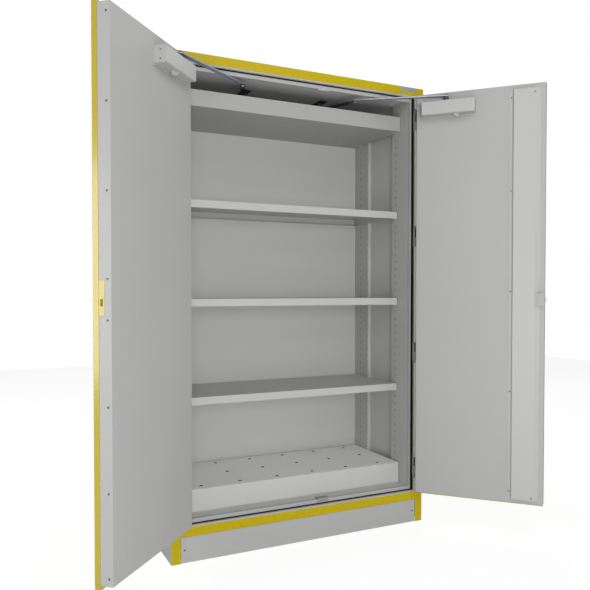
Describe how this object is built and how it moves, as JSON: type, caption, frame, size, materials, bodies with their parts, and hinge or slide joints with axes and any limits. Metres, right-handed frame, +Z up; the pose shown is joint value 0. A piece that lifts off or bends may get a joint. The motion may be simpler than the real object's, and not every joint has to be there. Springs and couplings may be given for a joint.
{
  "type": "fireproof safety cabinet",
  "caption": "Fire-resistant safety cabinet with insulated double doors standing open, jointed-arm closers, a bar lock, shelves, a deep top tray and a sump tray with a perforated inlay.",
  "frame": {"origin": "middle of the bottom of the bounding box as the cabinet stands with its doors open", "axes": "+Z up, -Y out of the front, +X to the right for someone who faces the cabinet"},
  "size_m": [1.8434, 0.9892, 1.992],
  "materials": {
    "yellow_paint": "glossy yellow powder coat",
    "grey_paint": "fine-textured light grey powder coat",
    "light_paint": "semi-gloss light grey powder coat",
    "seal_rubber": "matte black seal",
    "fire_board": "paper-faced gypsum fire board, matte",
    "zinc_steel": "bright zinc plate",
    "satin_steel": "satin steel"
  },
  "bodies": {
    "root": {"left_side_panel": "grey_paint", "right_side_panel": "grey_paint", "roof_panel": "grey_paint", "back_panel": "grey_paint", "base_pan": "zinc_steel", "trim_frame": "yellow_paint", "inner_frame": "light_paint", "frame_seal": "seal_rubber", "left_liner": "grey_paint", "right_liner": "grey_paint", "back_liner": "grey_paint", "ceiling_liner": "grey_paint", "floor_liner": "grey_paint", "insulation_jacket": "fire_board", "left_front_upright": "light_paint", "right_front_upright": "light_paint", "left_rear_upright": "light_paint", "right_rear_upright": "light_paint", "lower_shelf": "light_paint", "middle_shelf": "light_paint", "upper_shelf": "light_paint", "top_tray": "light_paint", "sump_tray": "light_paint", "sump_inlay": "light_paint", "lower_rod_keeper": "zinc_steel", "upper_rod_keeper": "zinc_steel", "plinth_panel": "grey_paint", "left_front_foot": "zinc_steel", "right_front_foot": "zinc_steel", "left_rear_foot": "zinc_steel", "right_rear_foot": "zinc_steel", "exhaust_spigot": "zinc_steel", "left_closer_bracket": "zinc_steel", "right_closer_bracket": "zinc_steel"},
    "left_door": {"left_door_skin": "yellow_paint", "left_door_liner": "grey_paint", "left_door_core": "fire_board", "left_closer_plate": "grey_paint", "left_closer_body": "light_paint", "left_edge_strip": "light_paint", "left_strike": "yellow_paint"},
    "right_door": {"right_door_skin": "yellow_paint", "right_door_liner": "grey_paint", "right_door_core": "fire_board", "right_closer_plate": "grey_paint", "right_closer_body": "light_paint", "lock_cover": "light_paint", "latch_housing": "grey_paint", "lock_case": "zinc_steel", "handle_plate": "satin_steel"},
    "left_arm": {"left_closer_arm": "zinc_steel"},
    "right_arm": {"right_closer_arm": "zinc_steel"},
    "left_forearm": {"left_closer_forearm": "zinc_steel"},
    "right_forearm": {"right_closer_forearm": "zinc_steel"},
    "lever": {"lever_handle": "satin_steel"},
    "latch": {"latch_bolt": "satin_steel"},
    "key_plug": {"lock_plug": "satin_steel"},
    "upper_rod": {"upper_lock_rod": "zinc_steel"},
    "lower_rod": {"lower_lock_rod": "zinc_steel"}
  },
  "joints": [
    {"name": "left_door_hinge", "type": "hinge", "parent": "root", "child": "left_door", "pos_m": [-0.535, -0.07238, 1.027], "axis": [0, 0, 1], "range_deg": [0, 133]},
    {"name": "right_door_hinge", "type": "hinge", "parent": "root", "child": "right_door", "pos_m": [0.535, -0.07238, 1.027], "axis": [0, 0, 1], "range_deg": [-133, 0]},
    {"name": "left_arm_pivot", "type": "hinge", "parent": "left_door", "child": "left_arm", "pos_m": [-0.58202, -0.20902, 1.8793], "axis": [0, 0, 1], "range_deg": [-153.95, 0]},
    {"name": "right_arm_pivot", "type": "hinge", "parent": "right_door", "child": "right_arm", "pos_m": [0.58202, -0.20902, 1.8793], "axis": [0, 0, 1], "range_deg": [0, 153.95]},
    {"name": "left_forearm_pivot", "type": "hinge", "parent": "root", "child": "left_forearm", "pos_m": [-0.185, 0.19962, 1.874], "axis": [0, 0, 1], "range_deg": [0, 76.91]},
    {"name": "right_forearm_pivot", "type": "hinge", "parent": "root", "child": "right_forearm", "pos_m": [0.185, 0.19962, 1.874], "axis": [0, 0, 1], "range_deg": [-76.91, 0]},
    {"name": "lever_turn", "type": "hinge", "parent": "right_door", "child": "lever", "pos_m": [0.88825, -0.39314, 1.009], "axis": [-0.7314, -0.682, 0], "range_deg": [0, 45], "stiffness_Nm_per_rad": 1.5, "springref_deg": -20.05},
    {"name": "latch_slide", "type": "slide", "parent": "right_door", "child": "latch", "axis": [-0.682, 0.7314, 0], "range_m": [0, 0.008]},
    {"name": "upper_rod_slide", "type": "slide", "parent": "right_door", "child": "upper_rod", "axis": [0, 0, 1], "range_m": [0, 0.0058]},
    {"name": "lower_rod_slide", "type": "slide", "parent": "right_door", "child": "lower_rod", "axis": [0, 0, -1], "range_m": [0, 0.0058]},
    {"name": "key_turn", "type": "hinge", "parent": "right_door", "child": "key_plug", "pos_m": [0.88825, -0.39314, 0.939], "axis": [-0.7314, -0.682, 0], "range_deg": [0, 90]}
  ],
  "couplings": [
    {"joint": "left_arm_pivot", "follows": "left_door_hinge", "ratio": -1.1575},
    {"joint": "right_arm_pivot", "follows": "right_door_hinge", "ratio": -1.1575},
    {"joint": "left_forearm_pivot", "follows": "left_door_hinge", "ratio": 0.57827},
    {"joint": "right_forearm_pivot", "follows": "right_door_hinge", "ratio": 0.57827},
    {"joint": "latch_slide", "follows": "lever_turn", "m_per_rad": 0.01018},
    {"joint": "lower_rod_slide", "follows": "upper_rod_slide", "ratio": 1},
    {"joint": "key_turn", "follows": "upper_rod_slide", "rad_per_m": 270.8}
  ]
}
